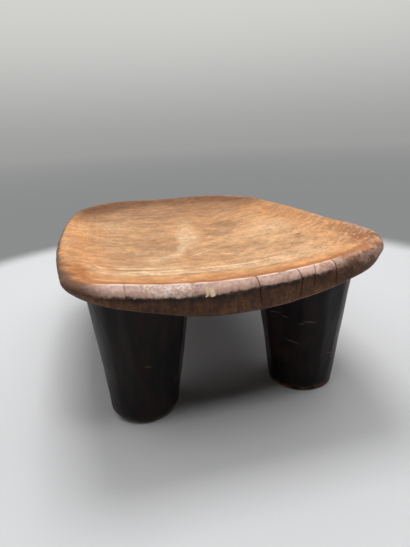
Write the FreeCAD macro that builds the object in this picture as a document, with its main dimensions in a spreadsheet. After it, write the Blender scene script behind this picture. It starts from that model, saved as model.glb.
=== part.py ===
import FreeCAD, Part
import math
import os
import Sketcher

# Four-legged carved stool, millimetres, +Z up, front end towards -Y
# Origin: on the floor under the middle of the seat
# The tops of the legs are cut by the same curved form that shapes the underside of the seat

SIZES = [
    # name, value, what it is
    ("seat_length", 396, "seat from end to end, along Y"),
    ("seat_width", 280, "seat from side to side at its middle, along X"),
    ("end_bow", 5, "how far each end bulges out over the full width"),
    ("side_bow", 19, "how far each side bulges out over the full length"),
    ("front_corner", 33, "corner radius in plan at the front end"),
    ("back_corner", 92, "corner radius in plan at the back end"),
    ("seat_height", 120, "lowest point of the hollowed top above the floor"),
    ("seat_thickness", 29, "thickness in the middle of the seat"),
    ("hollow_front_rise", 19, "rise of the hollowed top from its middle line to the sides, at the front end"),
    ("hollow_middle_rise", 16, "the same rise halfway along"),
    ("hollow_back_rise", 2, "the same rise at the back end"),
    ("hollow_end_rise", 12, "rise of the hollowed top from the middle to the ends"),
    ("belly_front_rise", 38, "rise of the underside from its middle line to the sides, at the front end"),
    ("belly_middle_rise", 27, "the same rise halfway along"),
    ("belly_back_rise", 25, "the same rise at the back end"),
    ("belly_end_rise", 16.5, "rise of the underside from the middle to the ends"),
    ("rim_inset", 5, "bevel of the upper edge, measured in over the top"),
    ("rim_drop", 7.5, "bevel of the upper edge, measured down the side"),
    ("under_bevel", 2.5, "eased lower edge of the seat"),
    ("foot_radius", 28, "radius of a leg on the floor plane, before its edge is rounded"),
    ("leg_top_radius", 42.3, "radius of a leg at the seat height"),
    ("foot_bevel", 4, "eased edge of a foot"),
    ("foot_inset_across", 64, "middle of a foot, in from the side of the seat"),
    ("foot_inset_along", 66, "middle of a foot, in from the end of the seat"),
    ("lean_across", -4.3, "how far a leg stands out sideways from its foot at the seat height"),
    ("lean_along", 8.6, "how far a leg stands out endways from its foot at the seat height"),
]

LEGS = [
    ("front_left_leg", -1, -1),
    ("front_right_leg", 1, -1),
    ("back_left_leg", -1, 1),
    ("back_right_leg", 1, 1),
]

doc = FreeCAD.newDocument("stool")


# Sizes

sheet = doc.addObject("Spreadsheet::Sheet", "sizes")
for row, (name, value, meaning) in enumerate(SIZES, start=1):
    sheet.set("A%d" % row, meaning)
    sheet.set("B%d" % row, str(value))
    sheet.setAlias("B%d" % row, name)
doc.recompute()


def size(name):
    return float(getattr(sheet, name))


def bulge_radius(half_chord, bow):
    # radius of an arc that rises by bow over half its chord
    return (half_chord ** 2 + bow ** 2) / (2 * bow)


def bulge_formula(chord, bow):
    # the same radius as an expression on the sheet
    return "((sizes.%s / 2)^2 + sizes.%s^2) / (2 * sizes.%s)" % (chord, bow, bow)


# Helpers for features

def add_body(label):
    body = doc.addObject("PartDesign::Body", label)
    body.Label = label
    return body


def add_sketch(body, name, role, offset=None):
    # sketch on a plane of the body, moved along the plane's normal by an expression
    sketch = body.newObject("Sketcher::SketchObject", name)
    plane = None
    for feature in body.Origin.OriginFeatures:
        if feature.Role == role:
            plane = feature
    sketch.AttachmentSupport = [(plane, "")]
    sketch.MapMode = "FlatFace"
    if offset is not None:
        sketch.setExpression("AttachmentOffset.Base.z", offset)
    return sketch


def bind(sketch, constraint, name, formula):
    # add a dimension with its value worked out from the sheet, and tie it to the sheet
    value = sheet.evalExpression(formula)
    index = sketch.addConstraint(Sketcher.Constraint(*constraint, value))
    sketch.renameConstraint(index, name)
    sketch.setExpression("Constraints." + name, formula)


# Curved forms of the top and the underside

def add_sag(form, label, end, low_point, rise):
    # upright section of a form: a sagging arc below and straight sides above, clear of the seat
    # the form runs 5 mm past each end of the seat and 10 mm past each side
    sketch = add_sketch(form, label, "XZ_Plane", "%d * (sizes.seat_length / 2 + 5) * 1 mm" % -end)
    radius_formula = bulge_formula("seat_width", rise)
    centre_formula = "%s + %s" % (low_point, radius_formula)
    width_formula = "sizes.seat_width + 20"
    top_formula = "2 * sizes.seat_height"
    radius = sheet.evalExpression(radius_formula)
    centre = sheet.evalExpression(centre_formula)
    half = sheet.evalExpression(width_formula) / 2
    top = sheet.evalExpression(top_formula)
    spread = math.asin(half / radius)
    circle = Part.Circle(FreeCAD.Vector(0, centre, 0), FreeCAD.Vector(0, 0, 1), radius)
    arc = sketch.addGeometry(Part.ArcOfCircle(circle, 1.5 * math.pi - spread, 1.5 * math.pi + spread), False)
    low_end = centre - radius * math.cos(spread)
    corners = [
        FreeCAD.Vector(half, low_end, 0),
        FreeCAD.Vector(half, top, 0),
        FreeCAD.Vector(-half, top, 0),
        FreeCAD.Vector(-half, low_end, 0),
    ]
    lines = []
    for number in range(3):
        segment = Part.LineSegment(corners[number], corners[number + 1])
        lines.append(sketch.addGeometry(segment, False))
    right, across, left = lines
    sketch.addConstraint(Sketcher.Constraint("Coincident", arc, 2, right, 1))
    sketch.addConstraint(Sketcher.Constraint("Coincident", right, 2, across, 1))
    sketch.addConstraint(Sketcher.Constraint("Coincident", across, 2, left, 1))
    sketch.addConstraint(Sketcher.Constraint("Coincident", left, 2, arc, 1))
    sketch.addConstraint(Sketcher.Constraint("Vertical", right))
    sketch.addConstraint(Sketcher.Constraint("Vertical", left))
    sketch.addConstraint(Sketcher.Constraint("Horizontal", across))
    sketch.addConstraint(Sketcher.Constraint("Symmetric", arc, 1, arc, 2, -2))
    bind(sketch, ("Radius", arc), "radius", radius_formula)
    bind(sketch, ("DistanceY", -1, 1, arc, 3), "centre", centre_formula)
    bind(sketch, ("DistanceX", across, 2, across, 1), "width", width_formula)
    bind(sketch, ("DistanceY", -1, 1, across, 1), "top", top_formula)
    return sketch


def add_trough(label, low_point, front_rise, middle_rise, back_rise, end_rise):
    # form above a curved sheet that sags across the seat, less or more from the front end to the back
    form = add_body(label)
    low_end = "%s + sizes.%s" % (low_point, end_rise)
    front = add_sag(form, label + "_front", -1, low_end, front_rise)
    middle = add_sag(form, label + "_middle", 0, low_point, middle_rise)
    back = add_sag(form, label + "_back", 1, low_end, back_rise)
    loft = form.newObject("PartDesign::AdditiveLoft", label + "_loft")
    loft.Profile = front
    loft.Sections = [middle, back]
    doc.recompute()
    return form


# Plan outline of the seat: bulging ends and sides joined by corner arcs

def circles_meet(first, first_radius, second, second_radius, near):
    # crossing point of two circles, the one closest to a guide point
    step = second - first
    distance = step.Length
    along = step * (1 / distance)
    across = FreeCAD.Vector(-along.y, along.x, 0)
    reach = (distance ** 2 + first_radius ** 2 - second_radius ** 2) / (2 * distance)
    rise = math.sqrt(max(first_radius ** 2 - reach ** 2, 0))
    options = [first + along * reach + across * rise, first + along * reach - across * rise]
    return min(options, key=lambda point: (point - near).Length)


def touch_point(centre, radius, corner_centre):
    # where a corner arc touches the larger arc around it
    return centre + (corner_centre - centre).normalize() * radius


def draw_outline(sketch):
    half_length = size("seat_length") / 2
    half_width = size("seat_width") / 2
    end_radius = bulge_radius(half_width, size("end_bow"))
    side_radius = bulge_radius(half_length, size("side_bow"))
    up = FreeCAD.Vector(0, 0, 1)

    def angle(centre, point):
        return math.atan2(point.y - centre.y, point.x - centre.x)

    def add_arc(centre, radius, start, end):
        first = angle(centre, start)
        last = angle(centre, end)
        if last < first:
            last += 2 * math.pi
        arc = Part.ArcOfCircle(Part.Circle(centre, up, radius), first, last)
        return sketch.addGeometry(arc, False)

    centre_of_front = FreeCAD.Vector(0, end_radius - half_length, 0)
    centre_of_back = FreeCAD.Vector(0, half_length - end_radius, 0)
    centre_of_right = FreeCAD.Vector(half_width - side_radius, 0, 0)
    centre_of_left = FreeCAD.Vector(side_radius - half_width, 0, 0)

    # going round anticlockwise from the front end
    walls = [
        (centre_of_front, end_radius),
        (centre_of_right, side_radius),
        (centre_of_back, end_radius),
        (centre_of_left, side_radius),
    ]
    corners = [
        ("front_corner", 1, -1),
        ("back_corner", 1, 1),
        ("back_corner", -1, 1),
        ("front_corner", -1, -1),
    ]
    joints = []
    for number, (corner, side, end) in enumerate(corners):
        radius = size(corner)
        before, before_radius = walls[number]
        after, after_radius = walls[(number + 1) % 4]
        guide = FreeCAD.Vector(side * (half_width - radius), end * (half_length - radius), 0)
        middle = circles_meet(before, before_radius - radius, after, after_radius - radius, guide)
        leaves = touch_point(before, before_radius, middle)
        arrives = touch_point(after, after_radius, middle)
        joints.append((middle, radius, leaves, arrives))

    wall_arcs = []
    corner_arcs = []
    for number in range(4):
        centre, radius = walls[number]
        start = joints[number - 1][3]
        end = joints[number][2]
        wall_arcs.append(add_arc(centre, radius, start, end))
        middle, corner_radius, leaves, arrives = joints[number]
        corner_arcs.append(add_arc(middle, corner_radius, leaves, arrives))

    # in a constraint, point 1 of an arc is its start, 2 its end and 3 its centre
    # curve -1 is the X axis, starting at the origin, and curve -2 the Y axis
    for number in range(4):
        wall = wall_arcs[number]
        corner = corner_arcs[number]
        following = wall_arcs[(number + 1) % 4]
        sketch.addConstraint(Sketcher.Constraint("Tangent", wall, 2, corner, 1))
        sketch.addConstraint(Sketcher.Constraint("Tangent", corner, 2, following, 1))
    front, right, back, left = wall_arcs
    for arc in (front, back):
        sketch.addConstraint(Sketcher.Constraint("PointOnObject", arc, 3, -2))
    for arc in (right, left):
        sketch.addConstraint(Sketcher.Constraint("PointOnObject", arc, 3, -1))
    sketch.addConstraint(Sketcher.Constraint("Equal", front, back))
    sketch.addConstraint(Sketcher.Constraint("Equal", right, left))
    sketch.addConstraint(Sketcher.Constraint("Equal", corner_arcs[0], corner_arcs[3]))
    sketch.addConstraint(Sketcher.Constraint("Equal", corner_arcs[1], corner_arcs[2]))

    end_formula = bulge_formula("seat_width", "end_bow")
    side_formula = bulge_formula("seat_length", "side_bow")
    bind(sketch, ("Radius", front), "end_radius", end_formula)
    bind(sketch, ("Radius", right), "side_radius", side_formula)
    bind(sketch, ("Radius", corner_arcs[0]), "front_corner", "sizes.front_corner")
    bind(sketch, ("Radius", corner_arcs[1]), "back_corner", "sizes.back_corner")
    end_offset = "%s - sizes.seat_length / 2" % end_formula
    side_offset = "%s - sizes.seat_width / 2" % side_formula
    bind(sketch, ("DistanceY", -1, 1, front, 3), "front_centre", end_offset)
    bind(sketch, ("DistanceY", back, 3, -1, 1), "back_centre", end_offset)
    bind(sketch, ("DistanceX", right, 3, -1, 1), "right_centre", side_offset)
    bind(sketch, ("DistanceX", -1, 1, left, 3), "left_centre", side_offset)


# Seat

belly_low = "sizes.seat_height - sizes.seat_thickness"
belly = add_trough(
    "belly_form", belly_low, "belly_front_rise", "belly_middle_rise", "belly_back_rise", "belly_end_rise"
)
hollow = add_trough(
    "hollow_form",
    "sizes.seat_height",
    "hollow_front_rise",
    "hollow_middle_rise",
    "hollow_back_rise",
    "hollow_end_rise",
)

blank = add_body("seat_blank")
plan = add_sketch(blank, "seat_plan", "XY_Plane")
draw_outline(plan)
tall = blank.newObject("PartDesign::Pad", "seat_block")
tall.Profile = plan
tall.setExpression(
    "Length", "(sizes.seat_height + 1.5 * (sizes.hollow_front_rise + sizes.hollow_end_rise)) * 1 mm"
)
doc.recompute()

hollowed = doc.addObject("Part::Cut", "seat_with_hollow")
hollowed.Base = blank
hollowed.Tool = hollow
doc.recompute()


def edges_around(shape, pick):
    # names of the edges around the highest or the lowest of the curved sheets
    sheets = [face for face in shape.Faces if face.Surface.TypeId == "Part::GeomBSplineSurface"]
    chosen = pick(sheets, key=lambda face: face.CenterOfMass.z)
    names = []
    for number, edge in enumerate(shape.Edges, start=1):
        if any(edge.isSame(other) for other in chosen.OuterWire.Edges):
            names.append("Edge%d" % number)
    return names


rimmed = add_body("rimmed_block")
rimmed.BaseFeature = hollowed
doc.recompute()
block = rimmed.Group[0]
bevel = rimmed.newObject("PartDesign::Chamfer", "rim_bevel")
bevel.Base = (block, edges_around(block.Shape, max))
bevel.ChamferType = "Two distances"
bevel.setExpression("Size", "sizes.rim_drop")
bevel.setExpression("Size2", "sizes.rim_inset")
rimmed.Tip = bevel
doc.recompute()

rounded_below = doc.addObject("Part::Common", "seat_with_belly")
rounded_below.Base = rimmed
rounded_below.Tool = belly
doc.recompute()

seat = add_body("seat")
seat.BaseFeature = rounded_below
doc.recompute()
carved = seat.Group[0]
eased = seat.newObject("PartDesign::Chamfer", "under_bevel")
eased.Base = (carved, edges_around(carved.Shape, min))
eased.setExpression("Size", "sizes.under_bevel")
seat.Tip = eased
doc.recompute()


# Legs

def add_section(form, label, side, end, height, trim):
    # circle across a leg at a height given as an expression, made smaller by trim
    share = "(%s) / sizes.seat_height" % height
    foot_across = "sizes.seat_width / 2 - sizes.foot_inset_across"
    foot_along = "sizes.seat_length / 2 - sizes.foot_inset_along"
    across = "%d * (%s + sizes.lean_across * %s)" % (side, foot_across, share)
    along = "%d * (%s + sizes.lean_along * %s)" % (end, foot_along, share)
    growth = "(sizes.leg_top_radius - sizes.foot_radius) * %s" % share
    radius = "sizes.foot_radius + %s - %s" % (growth, trim)
    sketch = add_sketch(form, label, "XY_Plane", "(%s) * 1 mm" % height)
    circle = sketch.addGeometry(
        Part.Circle(
            FreeCAD.Vector(sheet.evalExpression(across), sheet.evalExpression(along), 0),
            FreeCAD.Vector(0, 0, 1),
            sheet.evalExpression(radius),
        ),
        False,
    )
    bind(sketch, ("Radius", circle), "radius", radius)
    bind(sketch, ("DistanceX", -1, 1, circle, 3), "across", across)
    bind(sketch, ("DistanceY", -1, 1, circle, 3), "along", along)
    return sketch


# each leg runs up past the underside, so that the belly form cuts all of its top to shape
above_belly = "sizes.seat_height + sizes.belly_front_rise + sizes.belly_end_rise"
parts = [seat]
for label, side, end in LEGS:
    form = add_body(label + "_form")
    sole = add_section(form, label + "_sole", side, end, "0", "sizes.foot_bevel")
    edge = add_section(form, label + "_edge", side, end, "sizes.foot_bevel", "0")
    top = add_section(form, label + "_top", side, end, above_belly, "0")
    post = form.newObject("PartDesign::AdditiveLoft", label + "_post")
    post.Profile = sole
    post.Sections = [edge, top]
    post.Ruled = True

    leg = doc.addObject("Part::Cut", label)
    leg.Label = label
    leg.Base = form
    leg.Tool = belly
    doc.recompute()
    parts.append(leg)


# Check and write

doc.recompute()
for item in doc.Objects:
    if "Invalid" in item.State or "Error" in item.State:
        raise RuntimeError("%s did not build: %s" % (item.Label, item.State))

os.makedirs("parts", exist_ok=True)
for part in parts:
    shape = part.Shape
    if shape.isNull() or not shape.isValid() or len(shape.Solids) != 1:
        raise RuntimeError("%s is not one valid solid" % part.Label)
    shape.exportStep("parts/%s.step" % part.Label)
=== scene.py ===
import math
from collections import namedtuple
from functools import partial

import bmesh
import bpy
from bpy.props import FloatProperty, FloatVectorProperty, PointerProperty
from bpy.types import Operator, Panel, PropertyGroup
from mathutils import Matrix, Vector, noise


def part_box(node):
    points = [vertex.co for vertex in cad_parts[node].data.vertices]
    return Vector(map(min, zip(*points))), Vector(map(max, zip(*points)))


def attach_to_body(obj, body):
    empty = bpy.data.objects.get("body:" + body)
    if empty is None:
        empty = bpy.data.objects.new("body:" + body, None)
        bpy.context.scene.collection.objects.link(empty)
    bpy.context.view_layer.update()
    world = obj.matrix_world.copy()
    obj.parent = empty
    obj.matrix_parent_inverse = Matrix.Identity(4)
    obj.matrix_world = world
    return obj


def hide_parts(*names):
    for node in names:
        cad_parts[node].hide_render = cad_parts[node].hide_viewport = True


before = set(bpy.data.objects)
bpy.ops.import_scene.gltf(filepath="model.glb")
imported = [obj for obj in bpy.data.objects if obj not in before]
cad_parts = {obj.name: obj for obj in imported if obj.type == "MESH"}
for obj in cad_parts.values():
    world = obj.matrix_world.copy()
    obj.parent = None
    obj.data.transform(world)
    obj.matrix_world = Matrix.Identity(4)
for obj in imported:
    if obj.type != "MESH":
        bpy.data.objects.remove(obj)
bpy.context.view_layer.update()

bl_info = {
    "name": "Carved Stool",
    "version": (1, 0, 0),
    "blender": (4, 5, 0),
    "location": "View3D > Sidebar > Stool",
    "description": "Builds a carved wooden stool over its packed solids and sets a studio stage",
    "category": "Add Mesh",
}

MM = 0.001
SEAT_LOW, SEAT_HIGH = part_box("seat")

# Legs by CAD node: the side and end of the seat where each stands, the rounding of its lower edge and
# its hewn flats. A flat has a direction in degrees from the front, turning inwards, half its spread,
# and how far its creases stand proud as a share of the radius
LegCut = namedtuple("LegCut", "side end foot_round flats")
LEGS = {
    "front_left_leg": LegCut(
        -1, -1, 8.5 * MM, ((70, 21, 0.045), (112, 17, 0), (160, 15, 0), (-30, 13, 0), (-88, 15, 0))),
    "front_right_leg": LegCut(
        1, -1, 2.5 * MM, ((50, 24, 0.01), (100, 20, 0.015), (152, 15, 0), (-18, 12, 0), (-74, 15, 0))),
    "back_left_leg": LegCut(
        -1, 1, 7.0 * MM, ((55, 17, 0), (106, 20, 0.01), (160, 16, 0), (-36, 15, 0), (-92, 16, 0))),
    "back_right_leg": LegCut(
        1, 1, 6.0 * MM, ((72, 19, 0.01), (120, 17, 0), (168, 15, 0), (-44, 15, 0), (-100, 15, 0))),
}
LEG_SIDES = 144
LEG_RINGS = 34
FOOT_HEIGHTS = (0.25 * MM, 0.8 * MM, 1.7 * MM, 3.0 * MM, 4.6 * MM, 7.0 * MM, 10.0 * MM)
LEG_TOP_INSIDE = 2.5 * MM

# Drying cracks at the front end: where each meets the ridge, the widest line and the lower edge,
# how far it reaches over the top, how much of the lower edge it splits, its depth and how dark it is
Crack = namedtuple("Crack", "ridge widest lower reach share depth dark")
CRACKS = (
    Crack(-83.9 * MM, -83.6 * MM, -83.4 * MM, 1.0 * MM, 0.15, 0.4 * MM, 0.35),
    Crack(10.0 * MM, 10.5 * MM, 12.3 * MM, 2.0 * MM, 0.75, 1.6 * MM, 1.0),
    Crack(42.3 * MM, 43.6 * MM, 42.1 * MM, 5.0 * MM, 0.95, 1.8 * MM, 1.0),
    Crack(56.4 * MM, 53.9 * MM, 54.1 * MM, 1.0 * MM, 0.70, 0.9 * MM, 0.6),
    Crack(71.2 * MM, 71.4 * MM, 72.3 * MM, 6.0 * MM, 0.85, 1.4 * MM, 0.9),
)
CRACK_HALF_WIDTH = 0.46 * MM
CRACK_ZONE = 12 * MM
CRACK_PULL = 4 * MM

# Fresh chip on the front bevel: its middle across the seat and down the bevel, and half its spans
CHIP_PLACE = -25.9 * MM
CHIP_HALF = 3.8 * MM
CHIP_DOWN = 0.68
CHIP_HALF_DOWN = 0.40
CHIP_DEPTH = 0.7 * MM

# Rings of the seat and the spans that their run value covers
SEAT_MARKS = ("rim_run", "crack", "fresh", "crisp")
BEVEL_STEPS = (0.05, 0.12, 0.24, 0.40, 0.58, 0.76, 0.89, 0.96)
EDGE_STEPS = (0.04, 0.12, 0.25, 0.42, 0.60, 0.76, 0.88, 0.95, 1.0)
TOP_RINGS = 62
TOP_EVENNESS = 0.22
UNDER_RINGS = 26
UNDER_EVENNESS = 0.35
BEVEL_SLOPE = 0.7
BEVEL_RUN = 10 * MM
EDGE_RUN = 10 * MM
UNDER_RUN = 0.1
FINE_STEP = 1.7 * MM
COARSE_STEP = 2.5 * MM
MARK_GAP = 0.12 * MM

# Spans over which the rim changes, across the seat and along it
FRONT_END = (-0.150, -0.185)
FRONT_SIDES = (0.085, 0.115)
CRISP_LEFT = (-0.118, -0.086)
CRISP_RIGHT = (0.090, 0.058)
FRONT_RIGHT_HALF = (-25 * MM, 15 * MM)
LEFT_CORNER = (-0.085, -0.120), (-0.080, -0.150)
RIGHT_SIDE = (0.070, 0.110), (0.130, 0.020)
BACK_LEFT = (-0.040, -0.090), (0.020, 0.080)
RIGHT_SWELL = (0.085, 0.110), (-0.055, -0.145)
RIGHT_SWELL_START = (-0.180, -0.163)
BACK_SWELL = (0.015, -0.055), (0.110, 0.150)
CORNER_ACROSS = (0.090, 0.130)
CORNER_ALONG = (-0.090, -0.150)
THIN_END = (-0.140, -0.185)
THIN_SIDE = (-70 * MM, -25 * MM)

# Unevenness of the rim
EXTRA_INSET = 2.2 * MM
LOWER_ROUND = 1.6 * MM
CORNER_UNDERCUT = 4.5 * MM
THINNING = 1.9 * MM
OUTER_REACH = 5 * MM
LIFT_REACH = 11 * MM
GROOVE_STEP = 5.5 * MM
GROOVE_DEPTH = 0.30 * MM


# Settings of the stool

def length_property(name, description, default):
    """Length setting of the stool."""
    return FloatProperty(name=name, description=description, default=default, unit="LENGTH")


def colour_property(name, description, default):
    """Colour setting of the wood or the stage."""
    return FloatVectorProperty(
        name=name, description=description, default=default, subtype="COLOR", size=3, min=0, max=1)


class StoolSizes(PropertyGroup):
    """Sizes of the stool."""

    seat_length: length_property("Seat Length", "Seat from end to end", SEAT_HIGH.y - SEAT_LOW.y)
    seat_width: length_property(
        "Seat Width", "Seat from side to side at its middle", SEAT_HIGH.x - SEAT_LOW.x)
    end_bow: length_property("End Bow", "How far each end bulges over the width", 5 * MM)
    side_bow: length_property("Side Bow", "How far each side bulges over the length", 19 * MM)
    front_corner: length_property("Front Corner", "Corner radius at the front end", 33 * MM)
    back_corner: length_property("Back Corner", "Corner radius at the back end", 92 * MM)
    seat_height: length_property(
        "Seat Height", "Height of the rim's sweep at the middle of the seat", 120 * MM)
    hollow_front_rise: length_property(
        "Hollow Front Rise", "Rise of the top to its sides at the front end", 19 * MM)
    hollow_middle_rise: length_property("Hollow Middle Rise", "The same rise halfway along", 16 * MM)
    hollow_back_rise: length_property("Hollow Back Rise", "The same rise at the back end", 2 * MM)
    hollow_end_rise: length_property("Hollow End Rise", "Rise of the top towards the ends", 12 * MM)
    belly_height: length_property("Belly Height", "Lowest point of the underside", SEAT_LOW.z)
    belly_front_rise: length_property(
        "Belly Front Rise", "Rise of the underside to its sides at the front end", 38 * MM)
    belly_middle_rise: length_property("Belly Middle Rise", "The same rise halfway along", 27 * MM)
    belly_back_rise: length_property("Belly Back Rise", "The same rise at the back end", 25 * MM)
    belly_end_rise: length_property(
        "Belly End Rise", "Rise of the underside towards the ends", 16.5 * MM)
    rim_inset: length_property("Rim Inset", "Bevel of the upper edge, in over the top", 5 * MM)
    rim_drop: length_property("Rim Drop", "Bevel of the upper edge, down the side", 7.5 * MM)
    undercut: length_property("Undercut", "How far the edge draws in below the bevel", 1.6 * MM)
    dish_front: length_property(
        "Dish Front", "How far the worn middle lies below the rim's sweep at the front", 1.2 * MM)
    dish_back: length_property("Dish Back", "The same depth at the back", 2 * MM)
    dish_wall: length_property(
        "Dish Wall", "Width of the slope between the rim and the worn middle", 38 * MM)
    foot_radius: length_property("Foot Radius", "Radius of a leg at the floor", 29.5 * MM)
    leg_top_radius: length_property("Leg Top Radius", "Radius of a leg at the seat height", 42.3 * MM)
    foot_inset_across: length_property(
        "Foot Inset Across", "Middle of a foot, in from the side of the seat", 64 * MM)
    foot_inset_along: length_property(
        "Foot Inset Along", "Middle of a foot, in from the end of the seat", 66 * MM)
    lean_across: length_property(
        "Lean Across", "How far a leg stands out sideways at the seat height", -4.3 * MM)
    lean_along: length_property(
        "Lean Along", "How far a leg stands out endways at the seat height", 8.6 * MM)


class StoolColours(PropertyGroup):
    """Colours of the wood and the stage."""

    worn_tan: colour_property("Worn Tan", "Worn wood in the dish", (0.67, 0.335, 0.137))
    pale_tan: colour_property("Pale Tan", "Wood rubbed bare in streaks", (0.83, 0.565, 0.335))
    # Also painted shade over the back half of the dish
    brown_tan_and_shade: colour_property("Brown Tan", "Darker patches in the dish", (0.290, 0.122, 0.042))
    rim_orange: colour_property("Rim Orange", "Oiled wood just inside the rim", (0.75, 0.325, 0.104))
    ridge_orange: colour_property("Ridge Orange", "Deep orange beside the front ridge", (0.42, 0.140, 0.028))
    # Also painted shade on the back wall of the dish
    back_brown_and_shade: colour_property("Back Brown", "Handled wood at the back end", (0.155, 0.055, 0.013))
    # Painted shade: the rounded sides of the rim are painted dark where they turn away from the light
    shaded_side_brown: colour_property("Side Brown", "Rounded sides of the rim", (0.095, 0.044, 0.025))
    # Painted sheen: the bevel colour is made far lighter than the brown wood, to stand for the shine of the
    # lamps on it
    bevel_brown_and_sheen: colour_property("Bevel Brown", "Polished front bevel", (0.79, 0.485, 0.375))
    bevel_dark: colour_property("Bevel Dark", "Darker stains on the bevel", (0.40, 0.230, 0.172))
    # Partly painted highlight: also the bright line on the ridge and the glints on the bevel
    ridge_pale_and_highlight: colour_property("Ridge Pale", "Rubbed ridge between dish and bevel", (1.00, 0.84, 0.740))
    grime: colour_property("Grime", "Dirt along the widest edge and in cracks", (0.006, 0.0036, 0.0024))
    edge_brown: colour_property("Edge Brown", "End grain below the bevel", (0.185, 0.076, 0.029))
    edge_dark: colour_property("Edge Dark", "Dark end grain below the bevel", (0.040, 0.016, 0.0075))
    under_brown: colour_property("Under Brown", "Underside of the seat", (0.050, 0.028, 0.019))
    fresh_wood: colour_property("Fresh Wood", "Bare wood in the chip", (1.00, 0.76, 0.500))
    leg_black: colour_property("Leg Black", "Blackened wood of the legs", (0.0040, 0.0034, 0.0038))
    leg_brown: colour_property("Leg Brown", "Brown showing through on the legs", (0.046, 0.0220, 0.0130))
    foot_brown: colour_property("Foot Brown", "Worn edge of the feet", (0.24, 0.120, 0.062))
    scratch_grey: colour_property("Scratch Grey", "Fine scratches on the legs", (0.20, 0.17, 0.150))
    floor_pale: colour_property("Floor Pale", "Floor near the stool", (0.78, 0.785, 0.795))
    floor_far: colour_property("Floor Far", "Grey of the air and the floor far away", (0.26, 0.265, 0.265))


# Form of the seat

def bulge_radius(half_chord, bow):
    """Radius of an arc that rises by bow over half its chord."""
    return (half_chord ** 2 + bow ** 2) / (2 * bow)


def smooth_step(low, high, value):
    """Smooth share of the way from low to high, which may also fall."""
    share = min(max((value - low) / (high - low), 0.0), 1.0)
    return share * share * (3 - 2 * share)


def zone(point, across, along):
    """Share of a point in a zone that fades in over a span across and a span along."""
    return smooth_step(*across, point.x) * smooth_step(*along, point.y)


def wander(x, y, z, scale, seed):
    """Smooth noise around zero at a scale in cells per metre."""
    return noise.noise(Vector((x * scale + seed, y * scale - seed, z * scale + 2.3 * seed)))


class SaggingSheet(namedtuple("SaggingSheet", "low half_width reach front middle back end_rise")):
    """Sheet that sags across the seat, by a rise that changes from the front end to the back."""

    def height(self, x, y):
        share = y / self.reach
        bend = (self.front + self.back) / 2 - self.middle
        rise = self.middle + (self.back - self.front) / 2 * share + bend * share ** 2
        radius = bulge_radius(self.half_width, rise)
        return self.low + self.end_rise * share ** 2 + radius - math.sqrt(radius ** 2 - x * x)


class Arc:
    """Stretch of a circle, anticlockwise from one angle to another."""

    def __init__(self, centre, radius, first, last):
        self.centre = centre
        self.radius = radius
        self.first = first
        self.last = last if last > first else last + 2 * math.pi
        self.length = radius * (self.last - self.first)

    def at(self, distance):
        angle = self.first + distance / self.radius
        normal = Vector((math.cos(angle), math.sin(angle)))
        return self.centre + normal * self.radius, normal

    def holds(self, point):
        away = point - self.centre
        angle = math.atan2(away.y, away.x)
        if angle < self.first:
            angle += 2 * math.pi
        return angle <= self.last


class SeatPlan:
    """Outline of the seat from above: bulging walls joined by corner arcs, from the front left round."""

    def __init__(self, sizes):
        half_length = sizes.seat_length / 2
        half_width = sizes.seat_width / 2
        end_radius = bulge_radius(half_width, sizes.end_bow)
        side_radius = bulge_radius(half_length, sizes.side_bow)
        self.walls = (
            (Vector((0, end_radius - half_length)), end_radius),
            (Vector((half_width - side_radius, 0)), side_radius),
            (Vector((0, half_length - end_radius)), end_radius),
            (Vector((side_radius - half_width, 0)), side_radius),
        )
        guides = (
            (sizes.front_corner, 1, -1),
            (sizes.back_corner, 1, 1),
            (sizes.back_corner, -1, 1),
            (sizes.front_corner, -1, -1),
        )
        self.corners = []
        for number, (radius, side, end) in enumerate(guides):
            guide = Vector((side * half_width, end * half_length))
            corner = self.corner_arc(self.walls[number], self.walls[(number + 1) % 4], radius, guide)
            self.corners.append(corner)
        self.arcs = []
        for number, (centre, radius) in enumerate(self.walls):
            self.arcs.append(Arc(centre, radius, self.corners[number - 1].last, self.corners[number].first))
            self.arcs.append(self.corners[number])
        self.length = sum(arc.length for arc in self.arcs)
        self.front_length = self.arcs[0].length

    @staticmethod
    def corner_arc(before, after, radius, guide):
        """Arc that touches two walls from inside, near a guide point."""
        first, first_radius = before
        second, second_radius = after
        first_reach = first_radius - radius
        second_reach = second_radius - radius
        step = second - first
        along = step.normalized()
        across = Vector((-along.y, along.x))
        share = (step.length_squared + first_reach ** 2 - second_reach ** 2) / (2 * step.length)
        rise = math.sqrt(first_reach ** 2 - share ** 2)
        options = (first + along * share + across * rise, first + along * share - across * rise)
        centre = min(options, key=lambda point: (point - guide).length)
        leaving = centre - first
        arriving = centre - second
        start = math.atan2(leaving.y, leaving.x)
        return Arc(centre, radius, start, math.atan2(arriving.y, arriving.x))

    def at(self, distance):
        """Point and outward normal at a distance round the outline."""
        for arc in self.arcs:
            if distance <= arc.length:
                return arc.at(distance)
            distance -= arc.length
        return self.arcs[0].at(distance)

    def edge_distance(self, x, y):
        """Distance in from the outline."""
        point = Vector((x, y))
        distance = min(radius - (point - centre).length for centre, radius in self.walls)
        for corner in self.corners:
            if corner.holds(point):
                distance = min(distance, corner.radius - (point - corner.centre).length)
        return distance


def edge_distances(plan):
    """Distances round the outline, closer together at the front and closest at its cracks and chip."""
    front = plan.front_length
    rest = plan.length - front
    fine = round(front / FINE_STEP)
    coarse = round(rest / COARSE_STEP)
    distances = [front * number / fine for number in range(fine)]
    distances += [front + rest * number / coarse for number in range(coarse)]
    marks = []
    for crack in CRACKS:
        marks += [crack.widest + step * CRACK_HALF_WIDTH / 2 for step in range(-3, 4)]
    marks += [CHIP_PLACE + step * CHIP_HALF / 6 for step in range(-8, 9)]
    for mark in marks:
        distance = front / 2 + mark
        distances = [old for old in distances if abs(old - distance) > MARK_GAP]
        distances.append(distance)
    return sorted(distances)


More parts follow.
